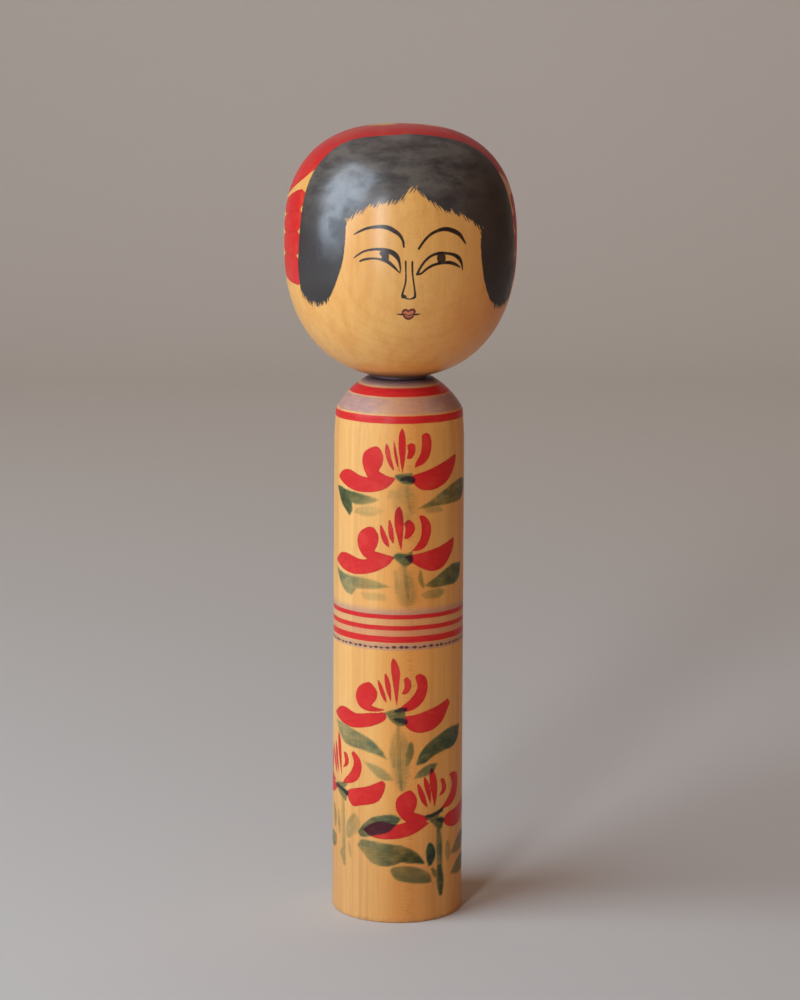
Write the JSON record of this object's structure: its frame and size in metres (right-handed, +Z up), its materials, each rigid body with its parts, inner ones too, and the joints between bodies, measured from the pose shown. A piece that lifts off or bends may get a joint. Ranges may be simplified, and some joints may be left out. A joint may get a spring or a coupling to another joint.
{
  "type": "kokeshi doll",
  "caption": "Turned wooden kokeshi doll: straight cylindrical body with painted chrysanthemums, large round head that turns on a beaded plug forced into the body's socket.",
  "frame": {"origin": "middle of the foot, on the surface the doll stands on", "axes": "+Z up along the turning axis, -Y the way the face looks, +X to a viewer's right"},
  "size_m": [0.105, 0.105, 0.3636],
  "materials": {
    "body_wood": "waxed, hand painted with red, green and violet dyes",
    "head_wood": "waxed, hand painted with black ink and red dye"
  },
  "bodies": {
    "body": {"body": "body_wood"},
    "head": {"head": "head_wood"}
  },
  "joints": [
    {"name": "head_turn", "type": "hinge", "parent": "body", "child": "head", "pos_m": [0, 0, 0.2498], "axis": [0, 0, 1], "continuous": true}
  ]
}
